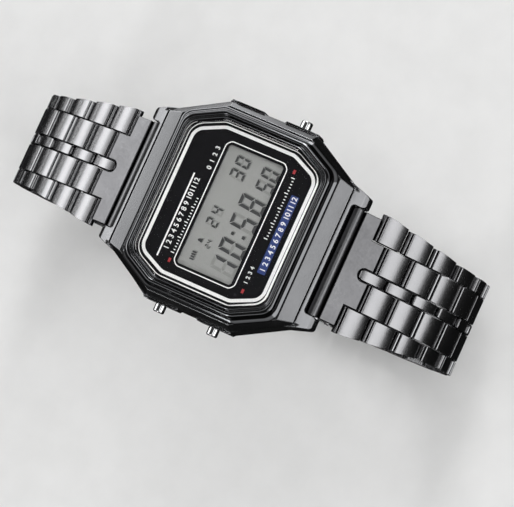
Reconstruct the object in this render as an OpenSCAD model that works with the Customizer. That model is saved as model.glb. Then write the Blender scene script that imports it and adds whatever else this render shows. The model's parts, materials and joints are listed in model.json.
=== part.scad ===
// Digital wrist watch with an octagonal case and a five-column link bracelet.
// The face looks up (+Z), 12 o'clock is +Y and 3 o'clock is +X.
// The origin is the middle of the case back's flat face. The bracelet is closed below it.

/* [Case] */
// Half width of the middle case, without the button guards
case_hx = 16.3; // [15.8:0.1:17]
// Distance from the end of the flat side to the bezel's foot at 12 o'clock
corner_l = 6.25; // [5.85:0.05:6.85]
// Wall between the flat side and the space for the module
side_wall = 3.9; // [3.8:0.05:4]
// Distance from the bezel's foot to the narrowest place, where the lugs begin
waist_l = 1.25; // [0.9:0.05:1.5]
// How much each side is wider there than at the lug tips
waist_flare = 1.2; // [0.9:0.05:1.5]
// Height of the case's lower rim over the case back's face
rim_z = 0.5; // [0.4:0.05:0.6]
// Height of the leaning shoulder below the top face
shoulder_h = 1.2; // [1:0.05:1.3]
// How far the sides lean in at the top face
shoulder_in = 0.95; // [0.5:0.05:1.1]
// Radius of the case's upright corners
case_round = 0.5; // [0.2:0.05:0.8]
// Thickness of the flange under the dial
flange_t = 0.5; // [0.4:0.05:0.7]

/* [Lugs] */
// Distance from the bezel's foot to the gap between the lugs
lug_bar_l = 3.05; // [2.8:0.05:3.2]
// Length of the lugs past that bar
lug_l = 1.9; // [1.8:0.05:2.4]
// Width of each lug at its tip
lug_w = 1.9; // [1.6:0.05:2.2]
// Distance of the spring bar from the face of the bar between the lugs
bar_out = 0.7; // [0.6:0.05:0.9]
// Height of the spring bar
bar_z = 2.6; // [2.4:0.05:2.8]
// Radius of the spring bar's body
bar_r = 0.75; // [0.65:0.05:0.8]
// Radius of the spring bar's end pins
bar_pin_r = 0.45; // [0.35:0.05:0.5]
// Length of each end pin
bar_pin_l = 0.8; // [0.6:0.1:1]
// Wall of the end link's tube round the spring bar
tube_wall = 0.25; // [0.2:0.01:0.3]
// How far the lug tips' top lies under the case's top face
lug_drop = 1.8; // [1.6:0.05:2]
// How far the lug bar's top lies under it at the groove
groove_drop = 0.75; // [0.6:0.05:0.9]
// Size of the bevel on the lug tips
lug_bevel = 0.6; // [0.4:0.05:0.9]
// Distance of the groove from the face of the bar between the lugs
groove_in = 0.6; // [0.4:0.1:0.9]
// Width of that groove
groove_w = 0.22; // [0.15:0.01:0.3]
// Depth of that groove
groove_d = 0.35; // [0.2:0.05:0.5]

/* [Bezel and crystal] */
// Half length of the bezel at its foot
bezel_hy = 13.45; // [13.2:0.05:13.8]
// Ledge of the case beside the bezel's foot
bezel_ledge = 1.2; // [1.1:0.05:1.4]
// Corner cut of the bezel along X
bezel_cut_x = 3.1; // [2.8:0.05:3.4]
// Corner cut of the bezel along Y
bezel_cut_y = 5.9; // [5.6:0.05:6.2]
// Height of the bezel over the case's top face
bezel_h = 1.75; // [1.6:0.05:1.9]
// Height of the bezel's upright foot
bezel_foot = 0.45; // [0.3:0.05:0.6]
// Width of the bezel at its foot beside 3 and 9 o'clock
bezel_wx = 2.05; // [1.9:0.05:2.3]
// Width of the bezel at its foot beside 12 and 6 o'clock
bezel_wy = 2.2; // [2:0.05:2.4]
// Width of the raised rim beside the crystal
rim_w = 0.4; // [0.3:0.05:0.5]
// Width and depth of the groove outside that rim
rim_groove = 0.25; // [0.15:0.05:0.3]
// Width of the bezel's flat top outside the groove
bezel_flat = 0.4; // [0.3:0.05:0.5]
// Corner cut of the crystal along X
glass_cut_x = 2.55; // [2.3:0.05:2.8]
// Corner cut of the crystal along Y
glass_cut_y = 5.1; // [4.8:0.05:5.4]
// Corner rounding of the crystal
glass_round = 2.4; // [1.6:0.1:3]
// How far the crystal stands out of the bezel
glass_proud = 0.35; // [0.25:0.05:0.45]
// Width of the bevel round the crystal's top
glass_bevel = 0.25; // [0.15:0.05:0.4]
// Thickness of the printed dial sheet
dial_t = 0.3; // [0.2:0.05:0.4]
// Gap between the dial's print and the crystal
print_gap = 0.05; // [0.03:0.01:0.1]

/* [Display] */
// Half length of the display glass
lcd_hy = 5.7; // [5.5:0.05:5.9]
// Thickness of the display glass
lcd_t = 1.15; // [1:0.05:1.2]
// Room beside the display glass for the button contacts
contact_room = 1.7; // [1.6:0.05:1.9]
// Edge of the display glass that the dial hides beside 3 and 9 o'clock
lcd_edge_x = 0.85; // [0.7:0.05:1]
// Edge of the display glass that the dial hides beside 12 and 6 o'clock
lcd_edge_y = 1.05; // [0.9:0.05:1.2]
// Middle of the window along Y
window_y = -0.35; // [-0.5:0.05:-0.2]
// Width of each conductive rubber strip
zebra_w = 1.1; // [0.9:0.05:1.2]
// How far the strips stop short of the display glass's ends
zebra_in = 0.7; // [0.6:0.05:0.9]
// Thickness of the light guide
guide_t = 0.5; // [0.4:0.05:0.6]

/* [Module] */
// Distance from the bezel's foot to the space for the module
end_wall = 2.55; // [2.5:0.05:2.7]
// Corner cut of that space along X
cavity_cut_x = 3.0; // [2.8:0.05:3.2]
// Corner cut of that space along Y
cavity_cut_y = 5.6; // [5.4:0.05:5.8]
// Gap between the module's frame and the case
frame_gap = 0.2; // [0.1:0.05:0.25]
// Room between the coin cell and the case at 12 and 6 o'clock
cell_room = 2.9; // [2.8:0.05:3.2]
// Thickness of the coin cell
cell_t = 1.6; // [1.4:0.05:1.65]
// Width of the step round the cell's smaller pole
cell_step_w = 0.9; // [0.6:0.1:1.2]
// Height of that step
cell_step_h = 0.25; // [0.15:0.05:0.35]
// Room between the circuit board and the case beside 3 and 9 o'clock
board_room_x = 2.1; // [2:0.05:2.3]
// Room between the circuit board and the case at 12 and 6 o'clock
board_room_y = 3.3; // [3.2:0.05:3.6]
// Thickness of the circuit board
board_t = 0.6; // [0.4:0.05:0.7]
// Radius of the sealed chip on the board
chip_r = 3.4; // [3:0.1:3.6]
// Height of the sealed chip
chip_h = 0.4; // [0.3:0.05:0.5]
// Room between the chip and the light guide
chip_room = 0.25; // [0.15:0.05:0.3]
// Thickness of the cell's steel strap
strap_t = 0.2; // [0.15:0.05:0.25]
// Half width of that strap
strap_hw = 1.5; // [1.2:0.1:2]
// Room between the strap's ends and the case
strap_in = 1.4; // [1.2:0.1:1.8]
// Radius of the buzzer disc
buzzer_r = 7.0; // [6:0.5:8]
// Thickness of the buzzer disc
buzzer_t = 0.2; // [0.15:0.05:0.25]
// Thickness of the leaves that the buttons push
leaf_t = 0.15; // [0.1:0.01:0.2]
// Width of those leaves along Y
leaf_w = 2.2; // [1.8:0.1:2.4]
// Height of those leaves
leaf_h = 1.2; // [1:0.1:1.3]

/* [Case back] */
// Width of the case back's edge beside 3 and 9 o'clock
back_edge_x = 1.5; // [1.4:0.05:1.6]
// Width of the case back's edge at 12 and 6 o'clock
back_edge_y = 1.8; // [1.7:0.05:1.9]
// Corner cut of the case back along X
back_cut_x = 1.6; // [1.4:0.05:1.7]
// Corner cut of the case back along Y
back_cut_y = 2.8; // [2.6:0.05:2.9]
// Radius of the case back's corners
back_round = 0.8; // [0.5:0.1:1.2]
// Thickness of the case back
back_t = 0.9; // [0.8:0.05:1]
// Distance of the screws from the case back's edge along X
screw_in_x = 2.0; // [1.9:0.05:2.1]
// Distance of the screws from the case back's edge along Y
screw_in_y = 2.4; // [2.3:0.05:2.5]
// Radius of the screw heads
screw_head_r = 1.1; // [0.9:0.05:1.15]
// Height of the screw heads
screw_head_h = 0.4; // [0.3:0.05:0.5]
// How far the screw heads lie under the case back's face
screw_sink = 0.05; // [0.02:0.01:0.1]
// Radius of the screw shanks
screw_r = 0.5; // [0.4:0.05:0.55]
// Length of the screws under the head
screw_l = 2.2; // [1.8:0.1:2.6]
// Length of the cross slots
slot_l = 1.3; // [1:0.1:1.6]
// Width of the cross slots
slot_w = 0.25; // [0.2:0.05:0.35]
// Depth of the cross slots
slot_d = 0.2; // [0.1:0.05:0.25]
// Width of the case back's rubber gasket
gasket_w = 0.7; // [0.5:0.05:0.8]
// Height of the gasket
gasket_h = 0.4; // [0.3:0.05:0.5]
// Distance of the gasket from the space for the module
gasket_out = 0.4; // [0.3:0.05:0.5]

/* [Buttons] */
// Distance of the buttons from the end of the flat side
button_in = 2.6; // [2.4:0.05:2.8]
// Height of the buttons' axis over the case's lower rim
button_up = 3.2; // [3.1:0.05:3.3]
// Radius of a button's head
button_r = 0.9; // [0.8:0.05:0.95]
// How far a button's tip stands out of the case
button_out = 1.6; // [1.3:0.05:1.9]
// Size of the bevel on a button's tip
button_bevel = 0.15; // [0.1:0.01:0.2]
// Travel of a button
button_travel = 0.6; // [0.4:0.05:0.7]
// Radius of a button's stem
stem_r = 0.55; // [0.45:0.05:0.6]
// How far the stem reaches past its clip
stem_end = 0.25; // [0.2:0.01:0.3]
// Thickness of the clip that keeps a button in
clip_t = 0.3; // [0.2:0.05:0.35]
// Radius of that clip
clip_r = 0.95; // [0.85:0.05:1.05]
// Depth of the pocket round a button's head
pocket_d = 1.5; // [1.3:0.05:1.6]
// Radius of the rubber ring's cross-section in a button's bore
seal_r = 0.16; // [0.12:0.01:0.18]
// Distance of that ring from the space for the module
seal_out = 1.25; // [1.2:0.05:1.4]
// Width of the ring's groove
seal_groove = 0.5; // [0.4:0.05:0.6]
// How far the guards stand out from the middle case
guard_out = 0.3; // [0.2:0.05:0.4]
// Half length of a guard along Y
guard_hy = 2.7; // [2.4:0.1:2.7]
// Distance of a guard's lower edge from the case's lower rim
guard_up = 1.2; // [1:0.1:1.4]
// How far a guard reaches up past the start of the shoulder
guard_over = 0.3; // [0.2:0.05:0.4]

/* [Bracelet] */
// Distance between the hinge pins
pitch = 5.05; // [4.9:0.05:5.2]
// Distance from the spring bar to the first hinge pin
end_l = 5.0; // [4.8:0.05:5.3]
// Width of the bracelet at its first row
strap_w = 19.5; // [19:0.1:20]
// How far the first row stands out past the gap between the lugs on each side
strap_out = 0.75; // [0.6:0.05:0.9]
// How much each row is narrower than the one before
taper = 1.25; // [1.1:0.05:1.4]
// Width of the bracelet at the clasp
strap_end_w = 15.4; // [15:0.1:16]
// Gap between the end link and each lug
end_gap = 0.2; // [0.15:0.01:0.3]
// Half width of the thin middle column
mid_hx = 0.8; // [0.7:0.05:0.9]
// Outer edge of the inner columns, from the middle
inner_x = 5.3; // [5.1:0.05:5.5]
// Gap between neighbouring columns
column_gap = 0.15; // [0.12:0.01:0.2]
// Height of a link's crown over the hinge pin
crown = 1.15; // [1.05:0.05:1.25]
// Radius of a link's crown along the bracelet
crown_r = 8.0; // [6:0.5:10]
// How far the end link's flat top lies under the crowns
end_drop = 0.1; // [0.05:0.01:0.2]
// Depth of a link's flat underside below the pin
sole = 1.1; // [1:0.05:1.15]
// Gap between the tops of two pieces of one column
link_gap = 0.3; // [0.25:0.01:0.35]
// How far a piece's top reaches past the hinge pin
overlap = 0.98; // [0.94:0.01:1.0]
// Radius of the knuckles round the hinge pins
knuckle_r = 0.75; // [0.72:0.01:0.78]
// Radius of the hinge pins
pin_r = 0.4; // [0.35:0.01:0.45]
// How far the hinge pins' ends lie inside the bracelet's edge
pin_in = 0.2; // [0.1:0.05:0.3]

/* [Clasp] */
// How far the cover stands out past the bracelet on each side
cover_out = 0.1; // [0:0.05:0.3]
// Thickness of the cover's plate
cover_t = 0.7; // [0.6:0.05:0.8]
// Height of the cover's outer face over the hinge pins
cover_w = 1.6; // [1.55:0.05:1.7]
// Depth of the cover's side walls
cover_wall = 1.3; // [1.1:0.05:1.4]
// Thickness of the cover's side walls
cover_wall_t = 0.5; // [0.4:0.05:0.6]
// Half width of the cover's turned-in end
cover_lip_hx = 4.0; // [3:0.5:5]
// Thickness of that end
cover_lip_t = 0.8; // [0.6:0.05:1]
// Distance of the cover's end from the other strand's last pin
cover_end = 1.2; // [1:0.1:1.6]
// Distance of the cover's pin from the base's hinge pin
cover_pin_s = 2.4; // [2.3:0.05:2.6]
// Depth of the cover's pin under its outer face
cover_pin_d = 0.95; // [0.9:0.05:1]
// Radius of the cover's pin
cover_pin_r = 0.4; // [0.35:0.01:0.45]
// Radius of the base's eye round the cover's pin
eye_r = 0.9; // [0.8:0.01:0.92]
// Half width of that eye
eye_hx = 5.0; // [4.6:0.1:5.2]
// Thickness of the base plate
base_t = 0.6; // [0.5:0.05:0.7]
// How far the base plate's sides lie inside the bracelet's edge
base_in = 0.9; // [0.8:0.05:1.2]
// Distance of the base plate's end from the other strand's last pin
base_end_l = 2.2; // [2:0.1:2.4]
// Distance of the lock plate's pin from the base's hinge pin
lock_pin_s = 12; // [11.5:0.1:12.5]
// Length of the lock plate
lock_l = 9; // [8:0.5:10]
// Half width of the lock plate
lock_hx = 3.6; // [3.2:0.1:4]
// Thickness of the lock plate
lock_t = 0.4; // [0.3:0.05:0.5]
// Radius of the lock plate's pin
lock_pin_r = 0.3; // [0.25:0.01:0.35]
// Radius of the knuckles round that pin
lock_knuckle_r = 0.5; // [0.45:0.01:0.55]
// Length of the catch tongue past its hinge pin
catch_l = 5.4; // [5.2:0.1:5.8]
// Thickness of the catch tongue
catch_t = 0.5; // [0.4:0.05:0.6]
// Gap between the base plate and the catch tongue under it
catch_gap = 0.25; // [0.2:0.01:0.3]
// How much of each outer arm the tongue reaches under
catch_over = 0.7; // [0.4:0.1:0.9]
// Half width of the catch tongue's hook
hook_hx = 2.4; // [2:0.1:2.8]
// Length of the hook along the bracelet
hook_l = 1.0; // [0.8:0.05:1.2]
// Extra length of the hook's slot, so that the hook can swing out
hook_swing = 0.9; // [0.8:0.05:1.1]

/* [Clearances] */
// Running clearance of hinge pins, as a radius
run_fit = 0.05; // [0.03:0.01:0.08]
// Clearance of a seated pin, as a radius
seat_fit = 0.02; // [0.01:0.01:0.03]
// Clearance of pieces that drop into a pocket
drop_fit = 0.1; // [0.05:0.01:0.15]
// Clearance between pieces that swing past each other
swing_gap = 0.3; // [0.25:0.01:0.35]

/* [Hidden] */
$fn = 48;

// Longer than any piece, for cuts that run right through
through = 60;
// Depth by which one shape enters the next, where both are one piece
join = 0.1;
// Side that each button is on: -1 is 9 o'clock and 12 o'clock is positive Y
buttons = [[-1, 1], [-1, -1], [1, -1]];
// Slope of the end link and of each row below the level, from the case to the clasp
slope_12 = [23, 25, 27, 34, 45, 65, 87, 109, 130, 148, 161, 171];
slope_6 = [37, 39, 41, 49, 64, 84, 106, 128, 149, 166, 175, 178];
rows = len(slope_12) - 1;

// Heights of the stack inside the case, from the case back upwards
strap_z = back_t + buzzer_t + drop_fit;
cell_z = strap_z + strap_t;
board_z = cell_z + cell_t + drop_fit;
board_top = board_z + board_t;
guide_z = board_top + chip_h + chip_room;
lcd_z = guide_z + guide_t + drop_fit / 2;
lcd_top = lcd_z + lcd_t;

// Heights of the case and of what lies on it
deck_z = lcd_top + drop_fit / 2;
cavity_z = deck_z - flange_t;
shoulder_z = deck_z - shoulder_h;
lug_top_z = deck_z - lug_drop;
groove_z = deck_z - groove_drop;
dial_z = deck_z + dial_t;
glass_bottom = dial_z + print_gap;
bezel_z = deck_z + bezel_h;
glass_z = bezel_z + glass_proud;

// Where the flat side ends and the slanted corner begins
flank_y = bezel_hy - corner_l;

// Half sizes of the space for the module and of what it holds
cavity_hx = case_hx - side_wall;
cavity_hy = bezel_hy - end_wall;
lcd_hx = cavity_hx - contact_room;
window_hx = lcd_hx - lcd_edge_x;
window_hy = lcd_hy - lcd_edge_y;
cell_r = cavity_hy - cell_room;
board_hx = cavity_hx - board_room_x;
board_hy = cavity_hy - board_room_y;
zebra_y = lcd_hy - zebra_w / 2 - drop_fit;

// Half sizes of the bezel, the crystal and the case back
bezel_hx = case_hx - bezel_ledge;
glass_hx = bezel_hx - bezel_wx;
glass_hy = bezel_hy - bezel_wy;
back_hx = cavity_hx + back_edge_x;
back_hy = cavity_hy + back_edge_y;
screw_x = back_hx - screw_in_x;
screw_y = back_hy - screw_in_y;

// Places of the lugs and of the spring bars between them
lug_gap_x = strap_w / 2 - strap_out;
lug_tip_x = lug_gap_x + lug_w;
waist_x = lug_tip_x + waist_flare;
waist_y = bezel_hy + waist_l;
lug_bar_y = bezel_hy + lug_bar_l;
lug_tip_y = lug_bar_y + lug_l;
groove_y = lug_bar_y - groove_in;
bar_y = lug_bar_y + bar_out;
tube_r = bar_r + tube_wall;

// Places along a button, from the middle of the case
button_y = flank_y - button_in;
button_z = rim_z + button_up;
button_tip = case_hx + button_out;
pocket_x = case_hx - pocket_d;
head_x = pocket_x + button_travel + run_fit;
clip_x = cavity_hx - run_fit - clip_t;
stem_x = clip_x - stem_end;
leaf_x = stem_x - button_travel - drop_fit - leaf_t;

// Half widths of the end link and of the clasp's pieces
end_hx = lug_gap_x - end_gap;
cover_hx = strap_end_w / 2 + cover_out;
base_hx = strap_end_w / 2 - base_in;
catch_hx = inner_x + column_gap + catch_over;

// Places along a link, from its hinge pin
top_l = pitch - link_gap;
// Where the tops of the columns on this pin end
ace_end = top_l - overlap;
// Where the tops of the columns that hold the next pin begin
bd_start = pitch + overlap - top_l;
// First place that clears a knuckle on this pin, and last that clears one on the next
clear_start = knuckle_r + swing_gap;
clear_end = pitch - knuckle_r - swing_gap;
// Strip inside a row that ties its columns together
tie_start = bd_start + column_gap;
tie_end = ace_end - column_gap;
tie_top = -0.3;
// How far the blocks under the tops start and stop from the pins, and how high they reach
block_in = 0.2;
// Top of the thin blocks that reach under the next row's knuckles
shelf_top = -0.5;

// Pin of hinge i of a strand as [y, z]: the spring bar is 0, and row r turns on hinge r
function hinge_at(i, slope) = i == 0
    ? [bar_y, bar_z]
    : hinge_at(i - 1, slope) + (i == 1 ? end_l : pitch) * [cos(slope[i - 1]), -sin(slope[i - 1])];

// Half width of the bracelet where row r begins
function edge(r) = max(strap_end_w, strap_w - taper * (r - 1)) / 2;

// Distance between the two strands' last hinge pins, which the clasp spans
clasp_l = hinge_at(rows + 1, slope_12).x + hinge_at(rows + 1, slope_6).x;

// Heights over the clasp's pins, outwards, and places along it from the base's pin
cover_pin_w = cover_w - cover_pin_d;
cover_far = clasp_l - cover_end;
base_top = base_t - sole;
base_end = clasp_l - base_end_l;
lock_pin_w = base_top - base_t / 2;
catch_top = -sole - catch_gap;
hook_s = clasp_l - catch_l;
// Where the clasp's arms begin past their pin, and how high they reach over it
arm_start = 0.2;
arm_top = 0.1;
// Where the base plate begins, between the arms
base_start = 0.95;

// Closed outline with corners cut by cx along X and cy along Y
function octagon(hx, hy, cx, cy) = [
    [hx, hy - cy], [hx - cx, hy], [cx - hx, hy], [-hx, hy - cy],
    [-hx, cy - hy], [cx - hx, -hy], [hx - cx, -hy], [hx, cy - hy]];

// The same outline moved outwards by d on every side
function grown(hx, hy, cx, cy, d) =
    let (n = [cy, cx] / norm([cx, cy]))
    octagon(hx + d, hy + d, cx + d * (1 - (1 - n.y) / n.x), cy + d * (1 - (1 - n.x) / n.y));

function unit(v) = v / norm(v);

// Arc that rounds corner b of an outline that runs from a to c
function corner_arc(a, b, c, r, steps) =
    let (
        u = unit(a - b),
        v = unit(c - b),
        half = acos(u * v) / 2,
        centre = b + unit(u + v) * r / sin(half),
        from = b + u * r / tan(half) - centre,
        sweep = -sign(cross(u, v)) * (180 - 2 * half))
    [for (i = [0 : steps])
        let (t = sweep * i / steps)
        centre + [from.x * cos(t) - from.y * sin(t), from.x * sin(t) + from.y * cos(t)]];

// Closed outline with every corner rounded
function rounded(pts, r, steps = 5) = [
    for (i = [0 : len(pts) - 1])
        each corner_arc(pts[(i + len(pts) - 1) % len(pts)], pts[i], pts[(i + 1) % len(pts)], r, steps)];

function reversed(list) = [for (i = [len(list) - 1 : -1 : 0]) list[i]];

function flipped(list, fx, fy) = [for (p = list) [fx * p.x, fy * p.y]];

// Outlines that several pieces share, moved outwards by d
function glass_outline(d) =
    rounded(grown(glass_hx, glass_hy, glass_cut_x, glass_cut_y, d), glass_round + d);
function bezel_outline(d) =
    rounded(grown(bezel_hx, bezel_hy, bezel_cut_x, bezel_cut_y, d), glass_round + d);
function cavity_outline(d) = grown(cavity_hx, cavity_hy, cavity_cut_x, cavity_cut_y, d);
function back_outline(d) = rounded(grown(back_hx, back_hy, back_cut_x, back_cut_y, d), back_round);

// Extrudes an outline upwards between two heights
module plate(z0, z1, pts) {
    translate([0, 0, z0]) linear_extrude(z1 - z0) polygon(pts);
}

// Box between two corners
module box(a, b) {
    translate(a) cube(b - a);
}

// Cylinder along X between x0 and x1, at [y, z]
module rod(x0, x1, at, r) {
    translate([x0, at.x, at.y]) rotate([0, 90, 0]) cylinder(h = x1 - x0, r = r);
}

// Cut for a pin along X that runs right through, at [y, z]
module bore(at, r) {
    rod(-through / 2, through / 2, at, r);
}

// Both sides of the middle plane across the bracelet
module both_x() {
    children();
    mirror([1, 0, 0]) children();
}

// Both sides of the middle plane along the bracelet
module both_y() {
    children();
    mirror([0, 1, 0]) children();
}

// Puts a piece on hinge i of a strand, at slope a
module on_hinge(i, slope, a) {
    at = hinge_at(i, slope);
    translate([0, at.x, at.y]) rotate([-a, 0, 0]) children();
}

// The same on the 12 o'clock strand and, mirrored, on the 6 o'clock strand
module on_row_12(r) on_hinge(r, slope_12, slope_12[r]) children();
module on_row_6(r) mirror([0, 1, 0]) on_hinge(r, slope_6, slope_6[r]) children();

// Case

// Outline of the case from above, with the lugs
function case_quarter() = [
    [case_hx, flank_y], [waist_x, waist_y], [lug_tip_x, lug_tip_y],
    [lug_gap_x, lug_tip_y], [lug_gap_x, lug_bar_y]];
function case_outline() = rounded(concat(
    case_quarter(),
    reversed(flipped(case_quarter(), -1, 1)),
    flipped(case_quarter(), -1, -1),
    reversed(flipped(case_quarter(), 1, -1))), case_round);

// Outline of the case from the side: the lug bar slopes down to the lug tips
function case_side() = [
    [lug_tip_y - lug_bevel, rim_z], [lug_tip_y, rim_z + lug_bevel],
    [lug_tip_y, lug_top_z - lug_bevel], [lug_tip_y - lug_bevel, lug_top_z],
    [groove_y + groove_w / 2, groove_z], [groove_y + groove_w / 2, groove_z - groove_d],
    [groove_y - groove_w / 2, groove_z - groove_d], [groove_y - groove_w / 2, groove_z],
    [bezel_hy + drop_fit, deck_z]];

// Takes the leaning shoulder off the side whose normal points at angle a
module lean(a, reach) {
    tilt = atan(shoulder_in / shoulder_h);
    rotate([0, 0, a]) translate([reach, 0, shoulder_z]) rotate([0, -tilt, 0])
        box([0, -lug_tip_y, 0], [case_hx, lug_tip_y, case_hx]);
}

// A raised guard round one button
module guard() {
    foot = guard_hy + guard_out;
    translate([0, button_y, 0])
        plate(rim_z + guard_up, shoulder_z + guard_over, [
            [pocket_x, -foot], [case_hx, -foot], [case_hx + guard_out, -guard_hy],
            [case_hx + guard_out, guard_hy], [case_hx, foot], [pocket_x, foot]]);
}

// Stepped bore for a button on the 3 o'clock side at y
module button_bore(y) {
    at = [y, button_z];
    rod(cavity_hx - 1, case_hx, at, stem_r + run_fit);
    rod(pocket_x, case_hx + guard_out + 1, at, button_r + run_fit + seat_fit);
    rod(cavity_hx + seal_out - seal_groove / 2, cavity_hx + seal_out + seal_groove / 2,
        at, stem_r + run_fit + seat_fit + 2 * seal_r + seat_fit / 2);
}

module case_shell() {
    corner = [waist_x - case_hx, waist_y - flank_y];
    corner_n = unit([corner.y, -corner.x]);
    corner_a = atan2(corner_n.y, corner_n.x);
    corner_reach = corner_n * [case_hx, flank_y];
    color("#3c3f45") difference() {
        intersection() {
            union() {
                plate(rim_z, deck_z, case_outline());
                both_x() both_y() guard();
            }
            translate([-through / 2, 0, 0]) rotate([90, 0, 90]) linear_extrude(through)
                polygon(concat(case_side(), reversed(flipped(case_side(), -1, 1))));
        }
        both_x() {
            lean(0, case_hx);
            lean(corner_a, corner_reach);
            lean(-corner_a, corner_reach);
        }
        plate(back_t - join, cavity_z, cavity_outline(0));
        plate(0, back_t, back_outline(drop_fit));
        plate(back_t - join, back_t + gasket_h + drop_fit / 2,
            cavity_outline(gasket_out + gasket_w + drop_fit / 2));
        box([-lcd_hx - drop_fit, window_y - lcd_hy - drop_fit, 0],
            [lcd_hx + drop_fit, window_y + lcd_hy + drop_fit, deck_z + 1]);
        both_y() {
            rod(-lug_gap_x, lug_gap_x, [bar_y, bar_z], tube_r + swing_gap);
            box([-lug_gap_x, bar_y - tube_r - swing_gap, -1], [lug_gap_x, lug_tip_y + 1, bar_z]);
            rod(-lug_gap_x - bar_pin_l - drop_fit, lug_gap_x + bar_pin_l + drop_fit,
                [bar_y, bar_z], bar_pin_r + run_fit);
        }
        for (x = [-screw_x, screw_x], y = [-screw_y, screw_y])
            translate([x, y, 0])
                cylinder(h = screw_head_h + screw_l + screw_sink + drop_fit, r = screw_r + seat_fit);
        for (p = buttons)
            if (p.x > 0) button_bore(p.y * button_y);
            else mirror([1, 0, 0]) button_bore(p.y * button_y);
    }
}

module gasket() {
    color("#202020") difference() {
        plate(back_t, back_t + gasket_h, cavity_outline(gasket_out + gasket_w));
        plate(back_t - 1, back_t + gasket_h + 1, cavity_outline(gasket_out));
    }
}

// The lower outline is upright, and the upper one draws in to the flat top
module bezel() {
    top_edge = 0.1;
    color("#2e3036") difference() {
        hull() {
            plate(deck_z, deck_z + bezel_foot, bezel_outline(0));
            plate(bezel_z - top_edge, bezel_z,
                glass_outline(drop_fit + rim_w + rim_groove + bezel_flat));
        }
        plate(deck_z - 1, bezel_z + 1, glass_outline(drop_fit / 2));
        difference() {
            plate(bezel_z - rim_groove, bezel_z + 1, glass_outline(drop_fit + rim_w + rim_groove));
            plate(0, bezel_z + 1, glass_outline(drop_fit + rim_w));
        }
    }
}

module crystal() {
    top_edge = 0.05;
    color("#20262c", 0.5) hull() {
        plate(glass_bottom, glass_z - glass_bevel, glass_outline(0));
        plate(glass_z - top_edge, glass_z, glass_outline(-glass_bevel));
    }
}

module dial_plate() {
    corner = 0.3;
    color("#15161a") difference() {
        plate(deck_z, dial_z, glass_outline(0));
        translate([0, window_y, 0])
            plate(0, dial_z + 1, rounded(octagon(window_hx, window_hy, corner, corner), corner / 3));
    }
}

// Module

module display_glass() {
    color("#9aa39a")
        box([-lcd_hx, window_y - lcd_hy, lcd_z], [lcd_hx, window_y + lcd_hy, lcd_top]);
}

module light_guide() {
    hx = lcd_hx - zebra_in + drop_fit;
    hy = zebra_y - zebra_w / 2 - drop_fit;
    color("#d8e0d0")
        box([-hx, window_y - hy, guide_z], [hx, window_y + hy, guide_z + guide_t]);
}

module zebra_strips() {
    hx = lcd_hx - zebra_in;
    color("#c8c8c8") for (side = [-1, 1])
        translate([0, window_y + side * zebra_y, 0])
            box([-hx, -zebra_w / 2, board_top], [hx, zebra_w / 2, lcd_z]);
}

module module_frame() {
    slot = (zebra_w + drop_fit) / 2;
    slot_hx = lcd_hx - zebra_in + drop_fit;
    leaf_room = 0.2;
    color("#30343a") difference() {
        plate(cell_z, cavity_z - drop_fit, cavity_outline(-frame_gap));
        translate([0, 0, cell_z - 1]) cylinder(h = cell_t + 1 + drop_fit, r = cell_r + drop_fit);
        box([-board_hx - drop_fit, -board_hy - drop_fit, cell_z - 1],
            [board_hx + drop_fit, board_hy + drop_fit, board_top]);
        box([-lcd_hx - drop_fit, window_y - lcd_hy - drop_fit, lcd_z],
            [lcd_hx + drop_fit, window_y + lcd_hy + drop_fit, deck_z]);
        box([-slot_hx - drop_fit, window_y - zebra_y + slot, guide_z],
            [slot_hx + drop_fit, window_y + zebra_y - slot, lcd_z + 1]);
        translate([0, window_y, board_z]) cylinder(h = deck_z, r = chip_r + chip_room * 2 + drop_fit);
        for (side = [-1, 1])
            translate([0, window_y + side * zebra_y, 0])
                box([-slot_hx, -slot, board_z], [slot_hx, slot, deck_z]);
        for (p = buttons)
            translate([p.x * (leaf_x + cavity_hx) / 2, p.y * button_y, button_z])
                cube([cavity_hx - leaf_x, leaf_w + 2 * leaf_room, 2 * (stem_r + clip_r / 2 + leaf_room)],
                    center = true);
    }
}

module circuit_board() {
    color("#2f6b3f") {
        box([-board_hx, -board_hy, board_z], [board_hx, board_hy, board_top]);
        translate([0, window_y, board_top]) cylinder(h = chip_h, r = chip_r);
    }
}

// Steel leaves that the button stems push
module contact_leaves() {
    color("#b8a060") for (p = buttons)
        translate([p.x * (leaf_x + leaf_t / 2), p.y * button_y, button_z])
            cube([leaf_t, leaf_w, leaf_h], center = true);
}

module battery() {
    color("#c8ccd0") translate([0, 0, cell_z]) {
        cylinder(h = cell_t - cell_step_h, r = cell_r);
        cylinder(h = cell_t, r = cell_r - cell_step_w);
    }
}

module battery_strap() {
    hx = cavity_hx - strap_in;
    color("#b0b4b8") box([-hx, -strap_hw, strap_z], [hx, strap_hw, cell_z]);
}

module buzzer_disc() {
    color("#c0a050") translate([0, 0, back_t]) cylinder(h = buzzer_t, r = buzzer_r);
}

// Case back

module case_back() {
    color("#b9bcc2") difference() {
        plate(0, back_t, back_outline(0));
        for (x = [-screw_x, screw_x], y = [-screw_y, screw_y])
            translate([x, y, -1]) {
                cylinder(h = back_t + 2, r = screw_r + drop_fit);
                cylinder(h = 1 + screw_sink + screw_head_h, r = screw_head_r + drop_fit);
            }
    }
}

module case_back_screws() {
    color("#8c9096") for (x = [-screw_x, screw_x], y = [-screw_y, screw_y])
        translate([x, y, screw_sink]) difference() {
            union() {
                cylinder(h = screw_head_h, r = screw_head_r);
                cylinder(h = screw_head_h + screw_l, r = screw_r);
            }
            for (turn = [0, 90])
                rotate([0, 0, turn]) cube([slot_l, slot_w, 2 * slot_d], center = true);
        }
}

// Buttons

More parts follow.
